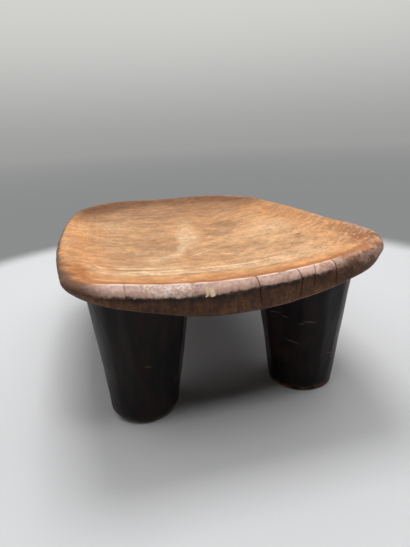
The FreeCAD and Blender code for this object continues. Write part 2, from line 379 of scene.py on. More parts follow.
class EdgePlace:
    """One place on the outline, with the unevenness of a hand-cut edge there."""

    def __init__(self, form, distance):
        sizes = form.sizes
        point, self.normal = form.plan.at(distance)
        self.tangent = Vector((-self.normal.y, self.normal.x))
        x, y = point
        uneven = partial(wander, x, y, 0)
        at_front = smooth_step(*FRONT_END, y)
        self.across = x
        self.front = at_front * (1 - smooth_step(*FRONT_SIDES, abs(x)))
        self.crisp = at_front * (smooth_step(*CRISP_LEFT, x) * smooth_step(*CRISP_RIGHT, x))
        self.round = 1 - 0.85 * self.crisp
        right = self.front * smooth_step(*FRONT_RIGHT_HALF, x)
        left = self.front - right
        left_corner = zone(point, *LEFT_CORNER)
        self.bevel = sizes.rim_inset + EXTRA_INSET + 1.8 * MM * left_corner + 0.5 * MM * uneven(30, 4.0)
        drop = sizes.rim_drop + 0.4 * MM * left - 1.5 * MM * right
        drop += 0.5 * MM * uneven(38, 6.0) + 0.4 * MM * uneven(130, 8.0)
        draw = 0.35 * MM * (1 + uneven(26, 2.0)) + 0.9 * MM * max(0.0, uneven(95, 5.0) - 0.2)
        self.lift = 1.0 * MM * left + 0.6 * MM * right - 0.7 * MM * left_corner
        self.lift += 1.3 * MM * zone(point, *RIGHT_SIDE) + 2.0 * MM * zone(point, *BACK_LEFT)
        right_swell = zone(point, *RIGHT_SWELL) * smooth_step(*RIGHT_SWELL_START, y)
        self.lift += 3.8 * MM * right_swell + 1.6 * MM * zone(point, *BACK_SWELL)
        self.ridge = point - self.normal * self.bevel
        self.widest = point - self.normal * draw
        corner = smooth_step(*CORNER_ACROSS, abs(x)) * smooth_step(*CORNER_ALONG, y)
        self.undercut = sizes.undercut + CORNER_UNDERCUT * corner
        self.lower = point - self.normal * (draw + self.undercut + LOWER_ROUND)
        self.ridge_height = form.hollow.height(*self.ridge) + self.lift
        self.widest_height = form.hollow.height(*point) - drop
        self.thinning = THINNING * (smooth_step(*THIN_END, y) * (1 - smooth_step(*THIN_SIDE, x)))
        self.lower_height = form.belly.height(*self.lower) + self.thinning
        self.bulge = 0.5 * MM + 0.8 * MM * (1 - self.crisp)
        self.facet = 0.5 * MM * uneven(75, 11.0) + 0.3 * MM * uneven(240, 12.0)


Spot = namedtuple("Spot", ("point",) + SEAT_MARKS)


class SeatForm:
    """Carved seat as rings of places: the dish, the bevel, the edge below it and the underside."""

    def __init__(self, sizes):
        half_width = sizes.seat_width / 2
        reach = sizes.seat_length / 2 + OUTER_REACH
        self.sizes = sizes
        self.plan = SeatPlan(sizes)
        top_rises = (sizes.hollow_front_rise, sizes.hollow_middle_rise, sizes.hollow_back_rise)
        under_rises = (sizes.belly_front_rise, sizes.belly_middle_rise, sizes.belly_back_rise)
        self.hollow = SaggingSheet(sizes.seat_height, half_width, reach, *top_rises, sizes.hollow_end_rise)
        self.belly = SaggingSheet(sizes.belly_height, half_width, reach, *under_rises, sizes.belly_end_rise)
        self.places = [EdgePlace(self, distance) for distance in edge_distances(self.plan)]

    def dish(self, number, share):
        """Spot on the top, at a share of the way out from the middle to the ridge."""
        place = self.places[number]
        inside = 0.0
        flat = place.ridge * share
        if share < 1:
            inside = max(0.0, self.plan.edge_distance(*flat) - place.bevel)
        pull, depth, dark = self.crack_at(place, inside, 0.0)
        flat = flat + place.tangent * pull
        lift = place.lift * (1 - smooth_step(0.0, LIFT_REACH, inside))
        height = self.dish_height(flat.x, flat.y, inside) + lift - depth
        return Spot(Vector((flat.x, flat.y, height)), inside, dark, 0.0, place.crisp)

    def dish_height(self, x, y, inside):
        """Height of the worn top with its scraper marks."""
        sizes = self.sizes
        deepest = sizes.dish_front + (sizes.dish_back - sizes.dish_front) * smooth_step(-0.15, 0.15, y)
        depth = deepest * smooth_step(0.0, sizes.dish_wall, inside)
        settled = smooth_step(0.0, 8 * MM, inside)
        scallops = 0.35 * MM * wander(0.5 * x, y, 0, 60, 3.1)
        ripples = 0.14 * MM * wander(0.6 * x, y, 0, 170, 7.7)
        return self.hollow.height(x, y) - depth + (scallops + ripples) * settled - self.groove(x, y, inside)

    @staticmethod
    def groove(x, y, inside):
        """Depth of the tool grooves that follow the rim, deepest at the front end."""
        band = smooth_step(5 * MM, 10 * MM, inside) * (1 - smooth_step(24 * MM, 40 * MM, inside))
        front = 1 - smooth_step(-0.13, -0.02, y)
        drift = 3 * MM * wander(x, y, 0, 14, 5.0)
        wave = 0.5 + 0.5 * math.sin((inside + drift) * 2 * math.pi / GROOVE_STEP)
        broken = smooth_step(-0.25, 0.3, wander(x, y, 0, 20, 9.0))
        return GROOVE_DEPTH * band * (0.3 + 0.7 * front) * wave * broken

    def bevel(self, number, share):
        """Spot on the bevel, at a share of the way from the ridge to the widest line."""
        place = self.places[number]
        turn = share * math.pi / 2
        outwards = share + (math.sin(turn) - share) * place.round
        downwards = share + (1 - math.cos(turn) - share) * place.round
        flat = place.ridge.lerp(place.widest, outwards)
        height = place.ridge_height + (place.widest_height - place.ridge_height) * downwards
        pull, depth, dark = self.crack_at(place, 0.0, share)
        fresh = self.chip_at(place, share)
        dent = 0.3 * MM * wander(flat.x, flat.y, height, 120, 14.0) * math.sin(math.pi * share)
        inwards = depth + CHIP_DEPTH * fresh + dent - place.bulge * math.sin(math.pi * share)
        flat = flat + place.tangent * pull - place.normal * BEVEL_SLOPE * inwards
        point = Vector((flat.x, flat.y, height - BEVEL_SLOPE * inwards))
        return Spot(point, -BEVEL_RUN * share, dark, fresh, place.crisp)

    def edge(self, number, share):
        """Spot below the bevel, at a share of the way from the widest line to the lower edge."""
        place = self.places[number]
        turned = max(0.0, (share - 0.8) / 0.2) ** 2
        swell = math.sin(math.pi * share)
        inset = place.undercut * share + LOWER_ROUND * turned + (place.facet - 0.4 * MM) * swell
        pull, depth, dark = self.crack_at(place, 0.0, 1 + share)
        flat = place.widest - place.normal * (inset + depth) + place.tangent * pull
        height = place.widest_height + (place.lower_height - place.widest_height) * share
        return Spot(Vector((flat.x, flat.y, height)), -BEVEL_RUN - EDGE_RUN * share, dark, 0.0, place.crisp)

    def under(self, number, share):
        """Spot on the underside, at a share of the way out from the middle to the lower edge."""
        place = self.places[number]
        flat = place.lower * share
        settled = smooth_step(0.0, 0.08, 1 - share)
        cuts = 1.4 * MM * abs(wander(flat.x, 0.35 * flat.y, 0, 40, 1.7)) * settled
        height = self.belly.height(*flat) + cuts + place.thinning * smooth_step(0.9, 1.0, share)
        run = -BEVEL_RUN - EDGE_RUN - 1 * MM - (1 - share) * UNDER_RUN
        return Spot(Vector((flat.x, flat.y, height)), run, 0.0, 0.0, 0.0)

    @staticmethod
    def crack_at(place, inside, over):
        """Sideways pull, depth and darkness of the cracks.

        inside is how far the spot lies over the top; over is 0 at the ridge, 1 at the widest line
        and 2 at the lower edge.
        """
        pull = 0.0
        depth = 0.0
        dark = 0.0
        if place.front <= 0 or inside > CRACK_ZONE:
            return pull, depth, dark
        for crack in CRACKS:
            away = abs(place.across - crack.widest)
            if away > CRACK_ZONE:
                continue
            slant = (crack.ridge - crack.widest) * max(0.0, 1 - over)
            slant += (crack.lower - crack.widest) * max(0.0, over - 1)
            wiggle = 0.35 * MM * wander(crack.widest, over * 0.01, inside, 330, 3.0)
            pull += (slant + wiggle) * math.exp(-(away / CRACK_PULL) ** 2)
            fade = max(0.0, 1 - inside / crack.reach)
            fade *= 1 - smooth_step(1 + 0.6 * crack.share, 1 + crack.share, over)
            opening = max(0.0, 1 - away / CRACK_HALF_WIDTH) * fade
            depth = max(depth, crack.depth * opening)
            dark = max(dark, min(1.0, 1.5 * opening) * crack.dark)
        return pull, depth, dark

    @staticmethod
    def chip_at(place, share):
        """How much of the fresh chip lies at a spot on the bevel."""
        if place.front <= 0:
            return 0.0
        ragged = 0.3 * wander(place.across, share * 0.012, 0, 420, 1.0)
        sideways = abs(place.across - CHIP_PLACE) / CHIP_HALF + ragged
        downwards = abs(share - CHIP_DOWN) / CHIP_HALF_DOWN + ragged
        split = 1 - 0.7 * math.exp(-((place.across - CHIP_PLACE + 0.8 * MM) / (0.9 * MM)) ** 2)
        return split * (1 - smooth_step(0.75, 1.0, sideways)) * (1 - smooth_step(0.7, 1.0, downwards))


# Form of the legs

class LegForm:
    """Hewn leg: a leaning taper with flats, a rounded foot and a top let into the underside."""

    def __init__(self, sizes, belly, cut):
        self.sizes = sizes
        self.belly = belly
        self.cut = cut
        self.seed = 3.0 * cut.side + 5.0 * cut.end
        self.foot = Vector((
            cut.side * (sizes.seat_width / 2 - sizes.foot_inset_across),
            cut.end * (sizes.seat_length / 2 - sizes.foot_inset_along),
        ))
        self.lean = Vector((cut.side * sizes.lean_across, cut.end * sizes.lean_along))

    def spot(self, turn, height):
        """Point on the leg at degrees from the front, turning inwards, and a height."""
        sizes = self.sizes
        share = height / sizes.seat_height
        centre = self.foot + self.lean * share
        angle = math.radians(turn)
        way = Vector((-self.cut.side * math.sin(angle), -math.cos(angle)))
        radius = sizes.foot_radius + (sizes.leg_top_radius - sizes.foot_radius) * share
        radius *= 1 + (self.flat_share(turn, height) - 1) * smooth_step(2 * MM, 40 * MM, height)
        x, y = centre + way * radius
        radius += 0.5 * MM * wander(x, y, 0.6 * height, 45, self.seed)
        radius += 0.22 * MM * wander(x, y, 0.4 * height, 130, self.seed + 1)
        rounding = self.cut.foot_round + 1.0 * MM * wander(x, y, 0, 50, self.seed + 2)
        if height < rounding:
            radius -= rounding - math.sqrt(rounding ** 2 - (rounding - height) ** 2)
        flat = centre + way * radius
        return Vector((flat.x, flat.y, height))

    def flat_share(self, turn, height):
        """Share of the plain radius where the hewn flats cut in and their creases stand proud."""
        share = 1.0
        swell = 0.0
        for number, (middle, spread, proud) in enumerate(self.cut.flats):
            drift = 3 * wander(0, number * 0.37, height, 22, self.seed)
            away = abs((turn - middle - drift + 180) % 360 - 180)
            if away < spread:
                share = min(share, math.cos(math.radians(spread)) / math.cos(math.radians(away)))
            swell = max(swell, proud * (1 - smooth_step(spread, spread + 14, away)))
        return share * (1 + swell)

    def top_height(self, turn):
        """Height at which the leg ends, a little inside the seat."""
        height = 0.1
        for _ in range(4):
            x, y, _height = self.spot(turn, height)
            height = self.belly.height(x, y) + LEG_TOP_INSIDE
        return height


# Mesh from rings

class RingMesh:
    """Closed mesh grown ring by ring from one circle of numbered vertices."""

    def __init__(self, count, marks=(), cap=False):
        self.bm = bmesh.new()
        self.bm.verts.layers.int.new("number")
        for mark in marks:
            self.bm.verts.layers.float.new(mark)
        self.number = self.bm.verts.layers.int["number"]
        self.marks = [self.bm.verts.layers.float[mark] for mark in marks]
        made = bmesh.ops.create_circle(self.bm, segments=count, radius=1.0, cap_ends=cap, cap_tris=cap)
        self.first_verts = [vert for vert in made["verts"] if vert.co.length > 0.5]
        for number, vert in enumerate(self.first_verts):
            vert[self.number] = number
        self.first = [edge for edge in self.bm.edges if all(vert.co.length > 0.5 for vert in edge.verts)]

    def settle(self, verts, shape):
        """Puts vertices where shape says, and marks them."""
        for vert in verts:
            spot = shape(vert[self.number])
            vert.co = spot[0]
            for layer, value in zip(self.marks, spot[1:]):
                vert[layer] = value

    def extend(self, ring, shape):
        """Extrudes a ring of edges into the next ring."""
        made = bmesh.ops.extrude_edge_only(self.bm, edges=ring)["geom"]
        self.settle([item for item in made if isinstance(item, bmesh.types.BMVert)], shape)
        return [item for item in made if isinstance(item, bmesh.types.BMEdge) and item.is_boundary]

    def close(self, ring):
        """Draws a small last ring together into one point."""
        verts = list({vert for edge in ring for vert in edge.verts})
        middle = sum((vert.co for vert in verts), Vector()) / len(verts)
        bmesh.ops.pointmerge(self.bm, verts=verts, merge_co=middle)

    def finish(self, name, material):
        """Mesh object with outward faces and smooth shading."""
        bmesh.ops.recalc_face_normals(self.bm, faces=self.bm.faces)
        for face in self.bm.faces:
            face.smooth = True
        self.bm.verts.layers.int.remove(self.number)
        return add_mesh(name, self.bm, material)


def add_object(name, data):
    """New object in the scene."""
    item = bpy.data.objects.new(name, data)
    bpy.context.scene.collection.objects.link(item)
    return item


def add_mesh(name, bm, material):
    """Mesh object with one material."""
    mesh = bpy.data.meshes.new(name)
    bm.to_mesh(mesh)
    bm.free()
    mesh.materials.append(material)
    return add_object(name, mesh)


def ring_share(step, evenness):
    """Share of the way out at a step from the rim to the middle, with rings closer at the rim."""
    return 1 - evenness * step - (1 - evenness) * step * step


def build_seat(sizes, material):
    """Carved seat, grown from its widest line over the bevel and the dish, then down round the belly."""
    form = SeatForm(sizes)
    rings = RingMesh(len(form.places), SEAT_MARKS)
    rings.settle(rings.first_verts, partial(form.bevel, share=1.0))
    ring = rings.first
    for share in reversed(BEVEL_STEPS):
        ring = rings.extend(ring, partial(form.bevel, share=share))
    for number in range(TOP_RINGS):
        share = ring_share(number / TOP_RINGS, TOP_EVENNESS)
        ring = rings.extend(ring, partial(form.dish, share=share))
    rings.close(ring)
    ring = rings.first
    for share in EDGE_STEPS:
        ring = rings.extend(ring, partial(form.edge, share=share))
    for number in range(1, UNDER_RINGS):
        share = ring_share(number / UNDER_RINGS, UNDER_EVENNESS)
        ring = rings.extend(ring, partial(form.under, share=share))
    rings.close(ring)
    return rings.finish("carved_seat", material)


def build_leg(sizes, node, material):
    """Carved leg, grown from its sole to a closed top inside the seat."""
    form = LegForm(sizes, SeatForm(sizes).belly, LEGS[node])
    turns = [360 * number / LEG_SIDES for number in range(LEG_SIDES)]
    tops = [form.top_height(turn) for turn in turns]
    start = FOOT_HEIGHTS[-1]

    def level(number, height):
        return (form.spot(turns[number], height),)

    def rising(number, share):
        return level(number, start + (tops[number] - start) * share)

    def crown(number):
        point = form.spot(turns[number], tops[number])
        middle = form.foot + form.lean
        return (Vector((middle.x, middle.y, point.z)).lerp(point, 0.2),)

    rings = RingMesh(LEG_SIDES, cap=True)
    for vert in rings.bm.verts:
        vert.co = (form.foot.x, form.foot.y, 0)
    rings.settle(rings.first_verts, partial(level, height=0.0))
    ring = rings.first
    for height in FOOT_HEIGHTS:
        ring = rings.extend(ring, partial(level, height=height))
    for number in range(1, LEG_RINGS + 1):
        ring = rings.extend(ring, partial(rising, share=number / LEG_RINGS))
    ring = rings.extend(ring, crown)
    rings.close(ring)
    return rings.finish("carved_" + node, material)


# Node trees

NODE_COLUMNS = 14
NODE_WIDTH = 180
NODE_HEIGHT = 260
BUMP_STRENGTH = 0.4
BUMP_DISTANCE = 0.5 * MM
SEAT_SHINE = 0.33
LEG_SHINE = 0.12
FLOOR_SHINE = 0.2
FLOOR_ROUGHNESS = 0.6

# Scale that makes the third axis of a flat pattern count for nothing
FLAT_SCALE = 1000


class Mask:
    """Value that changes over a surface, with plain sums, products and steps."""

    def __init__(self, sheet, socket):
        self.sheet = sheet
        self.socket = socket

    def __add__(self, other):
        return self.sheet.calc("ADD", self, other)

    def __sub__(self, other):
        return self.sheet.calc("SUBTRACT", self, other)

    def __rsub__(self, other):
        return self.sheet.calc("SUBTRACT", other, self)

    def __mul__(self, other):
        return self.sheet.calc("MULTIPLY", self, other)

    def __abs__(self):
        return self.sheet.calc("ABSOLUTE", self)

    def larger(self, other):
        return self.sheet.calc("MAXIMUM", self, other)

    def step(self, low, high, low_out=0.0, high_out=1.0):
        """Smooth step between two limits, falling where low is above high."""
        feeds = {"Value": self, "From Min": low, "From Max": high, "To Min": low_out, "To Max": high_out}
        return self.sheet.mask("ShaderNodeMapRange", feeds, interpolation_type="SMOOTHSTEP")


class NodeSheet:
    """One node tree, with short calls that add and link its nodes."""

    def __init__(self, tree):
        self.tree = tree
        tree.nodes.clear()

    def node(self, kind, feeds=None, **settings):
        """Adds a node, sets it and feeds its sockets, by name or number."""
        node = self.tree.nodes.new(kind)
        for name, value in settings.items():
            setattr(node, name, value)
        for name, value in (feeds or {}).items():
            self.feed(node.inputs[name], value)
        row, column = divmod(len(self.tree.nodes), NODE_COLUMNS)
        node.location = (NODE_WIDTH * column, -NODE_HEIGHT * row)
        return node

    def feed(self, socket, value):
        """Links or sets one socket."""
        if isinstance(value, Mask):
            value = value.socket
        if isinstance(value, bpy.types.NodeSocket):
            self.tree.links.new(value, socket)
        elif socket.type == "RGBA":
            socket.default_value = (*tuple(value)[:3], 1)
        else:
            socket.default_value = value

    def out(self, kind, feeds=None, output=0, **settings):
        """Output socket of a new node."""
        return self.node(kind, feeds, **settings).outputs[output]

    def mask(self, kind, feeds=None, output=0, **settings):
        return Mask(self, self.out(kind, feeds, output, **settings))

    def calc(self, operation, first, second=0.0):
        return self.mask("ShaderNodeMath", {0: first, 1: second}, operation=operation)

    def mix(self, share, first, second):
        return self.out("ShaderNodeMix", {0: share, 6: first, 7: second}, 2, data_type="RGBA")

    def scaled(self, colour, value):
        return self.out("ShaderNodeVectorMath", {0: colour, "Scale": value}, operation="SCALE")

    def stretch(self, vector, scale):
        return self.out("ShaderNodeVectorMath", {0: vector, 1: scale}, operation="MULTIPLY")

    def distance(self, vector):
        return self.mask("ShaderNodeVectorMath", {0: vector}, "Value", operation="LENGTH")

    def place(self):
        return self.out("ShaderNodeTexCoord", output="Object")

    def mark(self, name):
        return self.mask("ShaderNodeAttribute", output="Fac", attribute_name=name)

    def split(self, vector):
        return [Mask(self, socket) for socket in self.node("ShaderNodeSeparateXYZ", {0: vector}).outputs]

    def join(self, x, y, z=0.0):
        return self.out("ShaderNodeCombineXYZ", {0: x, 1: y, 2: z})

    def cloud(self, vector, scale, detail=2.0, roughness=0.5, distortion=0.0):
        feeds = {"Vector": vector, "Scale": scale, "Detail": detail, "Roughness": roughness}
        feeds["Distortion"] = distortion
        return self.mask("ShaderNodeTexNoise", feeds)

    def ellipse(self, vector, centre, turn, length, width):
        """Distance from a place on the first two axes, 1 on an ellipse of that length and width."""
        feeds = {
            "Vector": vector,
            "Location": (*centre, 0),
            "Rotation": (0, 0, math.radians(turn)),
            "Scale": (length / 2, width / 2, FLAT_SCALE),
        }
        return self.distance(self.out("ShaderNodeMapping", feeds, vector_type="TEXTURE"))

    def bump(self, height):
        feeds = {"Strength": BUMP_STRENGTH, "Distance": BUMP_DISTANCE, "Height": height}
        return self.out("ShaderNodeBump", feeds)

    def seen(self):
        """Share that is 1 where the camera sees the surface, straight, mirrored or through glass."""
        path = self.node("ShaderNodeLightPath").outputs
        seen = self.calc("MAXIMUM", path["Is Camera Ray"], path["Is Glossy Ray"])
        return seen.larger(path["Is Transmission Ray"])


class Paint:
    """Colour of a surface, laid on coat by coat."""

    def __init__(self, sheet, colour):
        self.sheet = sheet
        self.colour = colour

    def lay(self, colour, share):
        self.colour = self.sheet.mix(share, self.colour, colour)

    def toned(self, tone):
        """Colour made lighter or darker by a share around zero."""
        return self.sheet.scaled(self.colour, tone + 1.0)


VECTOR = "NodeSocketVector"
FLOAT = "NodeSocketFloat"


def new_group(name, inputs, outputs):
    """Shader node group with named sockets, ready for its nodes."""
    tree = bpy.data.node_groups.new(name, "ShaderNodeTree")
    for way, sockets in (("INPUT", inputs), ("OUTPUT", outputs)):
        for socket, kind in sockets.items():
            tree.interface.new_socket(name=socket, in_out=way, socket_type=kind)
    sheet = NodeSheet(tree)
    return sheet, sheet.node("NodeGroupInput").outputs, sheet.node("NodeGroupOutput").inputs


def wood_grain_group():
    """Soft streaks and fine fibres; the vector is already stretched along the grain."""
    sheet, given, result = new_group(
        "wood_grain", {"Vector": VECTOR}, {"Streaks": FLOAT, "Fibres": FLOAT})
    streaks = sheet.cloud(given["Vector"], 1.0, 3.0, 0.6, 0.35)
    fibres = sheet.cloud(given["Vector"], 4.3, 2.0, 0.65, 0.1)
    sheet.feed(result["Streaks"], streaks.step(0.36, 0.68))
    sheet.feed(result["Fibres"], fibres.step(0.38, 0.66))
    return sheet.tree


# Layers of scratches: turn in degrees, and cells per metre along and across them
SCRATCH_LAYERS = ((12, 30, 520), (71, 38, 640), (-38, 28, 580), (152, 46, 700))
SCRATCH_SHIFT = (0.31, 0.17, 0.11)


def fine_scratch_group():
    """Thin scratches in four directions over the first two axes, gathered in patches."""
    sheet, given, result = new_group(
        "fine_scratches", {"Vector": VECTOR, "Amount": FLOAT}, {"Mask": FLOAT})
    marks = []
    for number, (turn, long_scale, thin_scale) in enumerate(SCRATCH_LAYERS):
        feeds = {
            "Vector": given["Vector"],
            "Location": [shift * number for shift in SCRATCH_SHIFT],
            "Rotation": (0, 0, math.radians(turn)),
        }
        turned = sheet.out("ShaderNodeMapping", feeds)
        line = sheet.cloud(sheet.stretch(turned, (long_scale, thin_scale, 25)), 1.0, 0.0)
        marks.append(line.step(0.665, 0.755))
    total = marks[0]
    for mark in marks[1:]:
        total = total.larger(mark)
    gathered = sheet.cloud(given["Vector"], 28.0).step(0.42, 0.62, 0.15, 1.0)
    sheet.feed(result["Mask"], total * gathered * given["Amount"])
    return sheet.tree


def patchy_wear_group():
    """Cloudy patches between two limits."""
    inputs = {"Vector": VECTOR, "Scale": FLOAT, "Low": FLOAT, "High": FLOAT}
    sheet, given, result = new_group("patchy_wear", inputs, {"Mask": FLOAT})
    cloud = sheet.cloud(given["Vector"], given["Scale"], 4.0, 0.6)
    sheet.feed(result["Mask"], cloud.step(given["Low"], given["High"]))
    return sheet.tree


def placed_group(sheet, name, make, feeds):
    """Masks of a node group that is made once and placed in a sheet."""
    tree = bpy.data.node_groups.get(name) or make()
    outputs = sheet.node("ShaderNodeGroup", feeds, node_tree=tree).outputs
    return [Mask(sheet, socket) for socket in outputs]


def grain(sheet, vector):
    return placed_group(sheet, "wood_grain", wood_grain_group, {"Vector": vector})


def scratches(sheet, vector, amount):
    feeds = {"Vector": vector, "Amount": amount}
    return placed_group(sheet, "fine_scratches", fine_scratch_group, feeds)[0]


def patches(sheet, vector, scale, low, high):
    feeds = {"Vector": vector, "Scale": scale, "Low": low, "High": high}
    return placed_group(sheet, "patchy_wear", patchy_wear_group, feeds)[0]


def new_surface(name, specular):
    """New material with its node sheet and its shader."""
    material = bpy.data.materials.new(name)
    material.use_nodes = True
    sheet = NodeSheet(material.node_tree)
    shader = sheet.node("ShaderNodeBsdfPrincipled")
    shader.inputs["Specular IOR Level"].default_value = specular
    return material, sheet, shader


def finish_wood(sheet, shader, colour, gloss, relief):
    """Feeds a wood shader and shows it."""
    sheet.feed(shader.inputs["Base Color"], colour)
    sheet.feed(shader.inputs["Roughness"], gloss)
    sheet.feed(shader.inputs["Normal"], sheet.bump(relief))
    sheet.node("ShaderNodeOutputMaterial", {"Surface": shader.outputs["BSDF"]})


# Places on the dish: middle, turn in degrees, length, width and strength
DARK_PLACES = (
    ((-0.030, 0.128), 10, 0.110, 0.070, 0.65),
    ((-0.080, 0.105), 30, 0.070, 0.050, 0.45),
    ((0.045, 0.012), 62, 0.105, 0.048, 0.62),
    ((0.062, 0.100), -10, 0.080, 0.060, 0.45),
    ((-0.050, -0.045), 80, 0.090, 0.055, 0.28),
    ((0.034, -0.080), 30, 0.060, 0.040, 0.30),
    ((0.124, 0.020), 92, 0.130, 0.036, 0.34),
)
PALE_PLACES = (
    ((-0.002, 0.005), 83, 0.180, 0.028, 0.52),
    ((-0.003, -0.012), 20, 0.032, 0.024, 0.70),
    ((0.036, -0.146), 0, 0.115, 0.018, 0.50),
    ((0.004, -0.147), 5, 0.040, 0.012, 0.75),
    ((-0.070, -0.147), 0, 0.080, 0.014, 0.42),
    ((-0.088, 0.072), -25, 0.050, 0.034, 0.45),
    ((0.085, -0.030), 15, 0.060, 0.060, 0.35),
)
SCRATCHED_PLACES = (
    ((0.012, -0.085), 0, 0.110, 0.120, 1.0),
    ((-0.004, 0.000), 80, 0.110, 0.040, 0.9),
    ((0.060, 0.090), 20, 0.120, 0.090, 0.4),
)

# Small marks on the dish: middle, turn in degrees, length and, for the larger ones, width
PALE_DASHES = (
    ((-0.1226, 0.037), -28, 0.016),
    ((-0.1190, 0.055), -24, 0.014),
    ((0.0130, -0.0950), -55, 0.018),
    ((-0.0050, -0.0100), 20, 0.022),
    ((0.0600, -0.0480), 8, 0.024),
)
DASH_WIDTH = 0.004
KNOT = ((0.0942, -0.0859), 10, 0.011, 0.007)
WORN_HOLLOW = ((-0.080, 0.0), 0, 0.150, 0.250)

# Scrape line along the seat, middle across it of the scuffs and their painted glints, and the lower edge in
# the rim's run, where a painted highlight line runs
SCRAPE_LINE = -0.150
SCUFF_GLINT_MIDDLE = -54 * MM
LOWER_HIGHLIGHT_LINE = -19.8 * MM

# Spans across the seat over which its right side begins, and along it over which its ends do
RIGHT_HALF = (0.03, 0.08)
FRONT_STRIP = (-0.10, -0.15)
# The dish is darker over its back half and back wall: partly darker handled wood, partly painted shade where
# the slopes face away from the light
BACK_HALF_SHADE = (0.03, 0.15)
BACK_WALL_SHADE = (0.07, 0.15)


class SeatWood:
    """Worn wood: tan dish, polished bevel, grime line, end grain below it and a dark underside, with painted
    sheen, highlights and shade laid in.
    """

    def __init__(self, colours):
        self.colours = colours
        self.material, self.sheet, shader = new_surface("worn_seat_wood", SEAT_SHINE)
        self.place = self.sheet.place()
        self.across, self.along, _up = self.sheet.split(self.place)
        self.run, self.crack, self.fresh, self.crisp = (self.sheet.mark(mark) for mark in SEAT_MARKS)
        self.plain = 1.0 - self.crisp
        self.soft = self.cloud(70.0, 3.0) - 0.5
        self.drift = self.cloud(21.0) - 0.5
        self.mottle = self.cloud(120.0, 3.0, 0.6) - 0.5
        self.speckle = self.cloud(340.0, 3.0, 0.7) - 0.5
        self.ragged_run = self.run + (self.soft * (14 * MM) + self.drift * (26 * MM))
        self.set_streaks()
        self.set_zones()
        finish_wood(self.sheet, shader, self.zoned_colour(), self.gloss(), self.relief())

    def cloud(self, *settings):
        return self.sheet.cloud(self.place, *settings)

    def patches(self, *settings):
        return patches(self.sheet, self.place, *settings)

    def zone(self, across, along):
        """Zone of the seat that fades in over a span across and a span along."""
        return self.across.step(*across) * self.along.step(*along)

    def spot(self, centre, turn, length, width, inner):
        """Soft spot with a ragged edge."""
        away = self.sheet.ellipse(self.place, centre, turn, length, width) + self.soft + self.mottle * 1.2
        return away.step(1.05, inner)

    def set_streaks(self):
        """Streaks that sweep across the dish, scrape lines near the front that are partly painted
        highlights, and scratches.
        """
        sheet = self.sheet
        across = self.across
        sweep = self.along - across * across * 1.5
        self.streaks, self.fibres = grain(sheet, sheet.join(across * 11.0, sweep * 85.0))
        self.hairs, self.fine_hairs = grain(sheet, sheet.join(across * 38.0, sweep * 200.0))
        turned_up = across.step(-0.096, -0.134, 0.0, 0.062)
        from_line = self.along - SCRAPE_LINE - turned_up + self.drift * (8 * MM)
        lines = sheet.cloud(sheet.join(from_line * 150.0, across * 7.0), 1.0, 3.0, 0.6).step(0.49, 0.58)
        lines = lines * (self.soft + self.drift).step(-0.22, 0.02, 0.3, 1.0)
        strip = abs(from_line - 9 * MM).step(24 * MM, 8 * MM) * self.run.step(14 * MM, 24 * MM)
        self.scrapes_and_glints = lines * strip * across.step(0.105, 0.070, 0.15, 1.0)
        upright = sheet.cloud(sheet.join(across * 300.0, self.along * 15.0), 1.0, 2.0, 0.6)
        self.side_streaks = upright.step(0.46, 0.62) * across.step(-0.085, -0.115)
        field = 0.25
        for *spot, strength in SCRATCHED_PLACES:
            field = (self.spot(*spot, 0.3) * strength).larger(field)
        self.scratch = scratches(sheet, self.place, field)

    def set_zones(self):
        """Shares of the bevel, the edge and the underside, crisp at the front and soft elsewhere."""
        left_side = self.zone((-0.085, -0.115), (-0.145, -0.090))
        left_front = self.zone((0.02, -0.05), (-0.10, -0.16))
        right_front = self.zone((0.108, 0.126), (-0.04, -0.11))
        fuzz = (self.soft * (12 * MM) + self.mottle * (8 * MM)) * left_side.step(0.0, 1.0, 1.0, 0.45)
        fuzzy_run = self.run + self.plain * fuzz
        self.scalloped_run = fuzzy_run + (self.speckle + self.mottle + self.soft * 0.5) * (3.2 * MM)
        start = (left_front + right_front) * (5.5 * MM) + 3.5 * MM + left_side * (-5 * MM)
        bevel_end = self.plain * (-5 * MM) - 0.5 * MM
        self.on_bevel = fuzzy_run.step(self.plain * start + 0.5 * MM, bevel_end)
        edge_end = self.plain * (-2 * MM) - 11.0 * MM
        self.on_edge = self.scalloped_run.step(self.plain * (3 * MM) - 8.4 * MM, edge_end)
        self.on_under = self.run.step(-19.6 * MM, -20.6 * MM)

    def dish_colour(self):
        """Worn top: oiled rim, brown patches, places rubbed pale, streaks and small marks, with painted
        shade over the back and painted highlights in the front scrape lines.
        """
        sheet = self.sheet
        colours = self.colours
        across = self.across
        along = self.along
        front = along.step(*FRONT_STRIP)
        paint = Paint(sheet, colours.worn_tan)

        large = patches(sheet, sheet.stretch(self.place, (1, 1.3, 1)), 16.0, 0.42, 0.64)
        small = patches(sheet, sheet.stretch(self.place, (1, 1.6, 1)), 52.0, 0.44, 0.62)
        oiled = self.ragged_run.step(48 * MM, 20 * MM)
        paint.lay(colours.brown_tan_and_shade, large * across.step(0.0, 0.08, 0.45, 0.20))
        paint.lay(colours.rim_orange, oiled * across.step(-0.02, 0.07, 0.75, 0.45))
        paint.lay(colours.brown_tan_and_shade, small * 0.42)
        for *spot, strength in DARK_PLACES:
            paint.lay(colours.brown_tan_and_shade, self.spot(*spot, 0.55) * strength)
        broken = (self.mottle + self.speckle).step(-0.22, 0.12, 0.40, 1.15)
        for *spot, strength in PALE_PLACES:
            paint.lay(colours.pale_tan, self.spot(*spot, 0.45) * broken * strength)
        hollow = sheet.ellipse(self.place, *WORN_HOLLOW) + self.drift * 0.3
        lip = abs(hollow - 0.92).step(0.09, 0.02) * self.zone((-0.075, -0.045), (0.03, -0.01))
        paint.lay(colours.pale_tan, lip * 0.7)
        # Back half darkened: darker wood and painted shade
        paint.lay(colours.brown_tan_and_shade, along.step(*BACK_HALF_SHADE) * 0.88)

